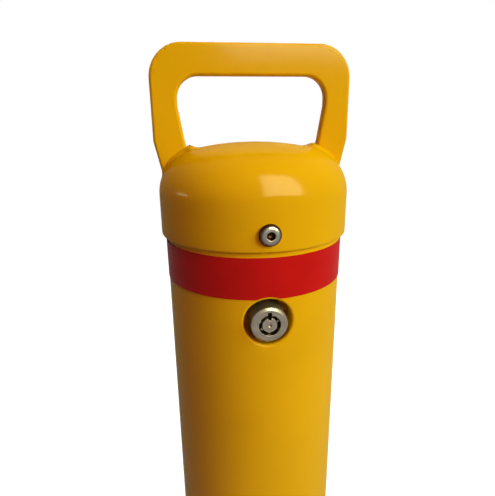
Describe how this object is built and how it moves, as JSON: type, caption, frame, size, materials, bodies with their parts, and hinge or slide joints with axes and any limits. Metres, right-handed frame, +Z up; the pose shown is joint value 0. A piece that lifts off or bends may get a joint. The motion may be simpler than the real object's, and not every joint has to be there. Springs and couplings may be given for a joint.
{
  "type": "removable locking bollard",
  "caption": "Round yellow steel bollard with a domed cap, a flat loop lifting handle and a key lock that shoots a bolt into the spigot of its base plate.",
  "frame": {"origin": "centre of the base plate's underside, on the ground", "axes": "+Z up the post, the lock faces -Y, and the handle's plate lies in the XZ plane"},
  "size_m": [0.2, 0.2, 0.944],
  "materials": {
    "yellow_powder_coat": "gloss traffic-yellow powder coat on steel",
    "red_reflective_film": "satin red reflective film",
    "nickel_plated_brass": "dull nickel plate with turning marks",
    "stainless_steel": "plain stainless steel",
    "zinc_plated_steel": "bright zinc plate",
    "bare_steel": "drawn mild steel, lightly oiled",
    "spring_steel": "dark oil-tempered wire",
    "black_plastic": "moulded black nylon"
  },
  "bodies": {
    "base": {"base_plate": "yellow_powder_coat", "spigot": "yellow_powder_coat", "spigot_weld": "yellow_powder_coat", "centring_rings": "black_plastic"},
    "post": {"post_tube": "yellow_powder_coat", "reflective_band": "red_reflective_film", "cap": "yellow_powder_coat", "handle": "yellow_powder_coat", "handle_welds": "yellow_powder_coat", "cap_screws": "stainless_steel", "cap_nuts": "zinc_plated_steel", "lock_sleeve": "yellow_powder_coat", "lock_body": "nickel_plated_brass", "lock_nut": "zinc_plated_steel", "upper_guide": "bare_steel", "latch_carrier": "bare_steel", "rod_spring": "spring_steel"},
    "lock_plug": {"lock_plug": "nickel_plated_brass", "lock_pins": "nickel_plated_brass", "lock_cam": "bare_steel", "crank_pin": "bare_steel", "cam_screw": "zinc_plated_steel"},
    "draw_rod": {"draw_rod": "bare_steel", "rod_yoke": "bare_steel", "yoke_pin": "zinc_plated_steel", "spring_collar": "zinc_plated_steel", "collar_screw": "bare_steel", "bolt_stirrup": "bare_steel", "rod_nut": "zinc_plated_steel"},
    "locking_bolt": {"locking_bolt": "zinc_plated_steel", "drive_pin": "bare_steel"}
  },
  "joints": [
    {"name": "post_lift", "type": "slide", "parent": "base", "child": "post", "axis": [0, 0, 1], "range_m": [0, 0.15]},
    {"name": "lock_turn", "type": "hinge", "parent": "post", "child": "lock_plug", "pos_m": [0, -0.0195, 0.8234], "axis": [0, 1, 0], "range_deg": [0, 90]},
    {"name": "rod_slide", "type": "slide", "parent": "post", "child": "draw_rod", "axis": [0, 0, 1], "range_m": [-0.01697, 0], "deforming": ["rod_spring"]},
    {"name": "bolt_slide", "type": "slide", "parent": "post", "child": "locking_bolt", "axis": [1, 0, 0], "range_m": [0, 0.01201]}
  ],
  "couplings": [
    {"joint": "lock_turn", "follows": "rod_slide", "rad_per_m": -92.558},
    {"joint": "bolt_slide", "follows": "rod_slide", "ratio": -0.70708}
  ]
}
